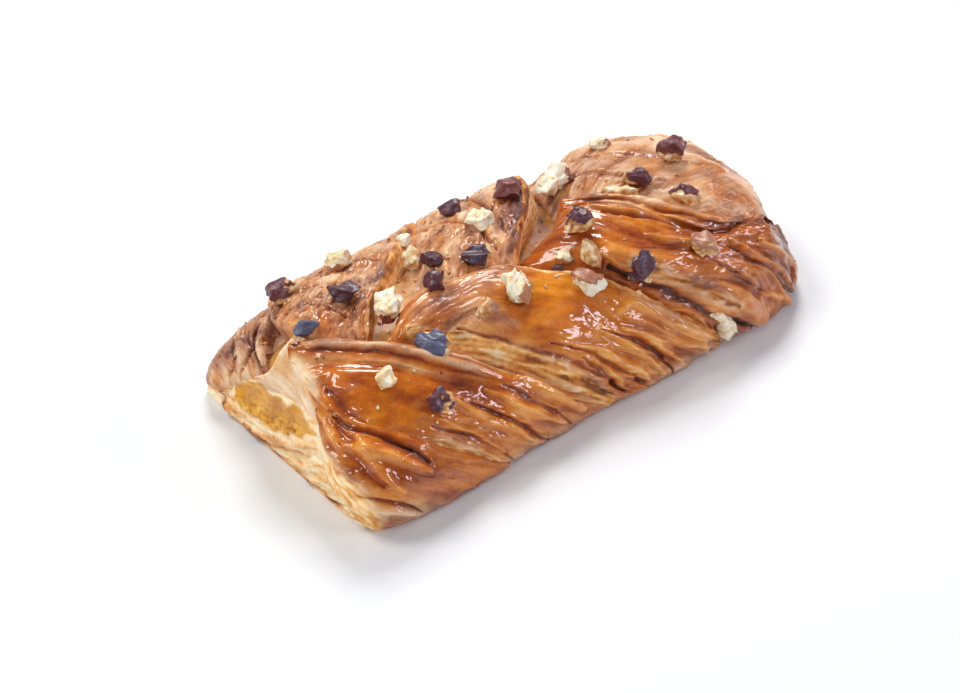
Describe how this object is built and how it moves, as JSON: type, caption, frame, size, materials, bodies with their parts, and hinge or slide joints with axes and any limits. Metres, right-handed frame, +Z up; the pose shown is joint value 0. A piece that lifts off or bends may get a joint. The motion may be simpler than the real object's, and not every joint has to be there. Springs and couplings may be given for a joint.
{
  "type": "puff pastry braid",
  "caption": "Long baked puff pastry braid: slanted dough strips folded over a filling, crossing on the ridge, glazed and strewn with chopped nuts",
  "frame": {"origin": "under the middle of the braid, on its flat underside", "axes": "+X along the braid towards its rounded end, +Y across it, +Z up"},
  "size_m": [0.1308, 0.0682, 0.0363],
  "materials": {
    "baked_pastry": "glazed, browned crust",
    "maple_filling": "moist custard",
    "nut_skin": "dry nut skin",
    "nut_flesh": "dry broken nut"
  },
  "bodies": {
    "root": {"pastry": "baked_pastry", "filling": "maple_filling", "nut_01": "nut_skin", "nut_02": "nut_flesh", "nut_03": "nut_skin", "nut_04": "nut_skin", "nut_05": "nut_flesh", "nut_06": "nut_flesh", "nut_07": "nut_flesh", "nut_08": "nut_skin", "nut_09": "nut_skin", "nut_10": "nut_skin", "nut_11": "nut_flesh", "nut_12": "nut_skin", "nut_13": "nut_skin", "nut_14": "nut_flesh", "nut_15": "nut_flesh", "nut_16": "nut_skin", "nut_17": "nut_skin", "nut_18": "nut_flesh", "nut_19": "nut_skin", "nut_20": "nut_skin", "nut_21": "nut_flesh", "nut_22": "nut_flesh", "nut_23": "nut_skin", "nut_24": "nut_skin", "nut_25": "nut_skin", "nut_26": "nut_skin", "nut_27": "nut_flesh", "nut_28": "nut_flesh", "nut_29": "nut_skin", "nut_30": "nut_flesh", "nut_31": "nut_skin", "nut_32": "nut_flesh"}
  },
  "joints": []
}
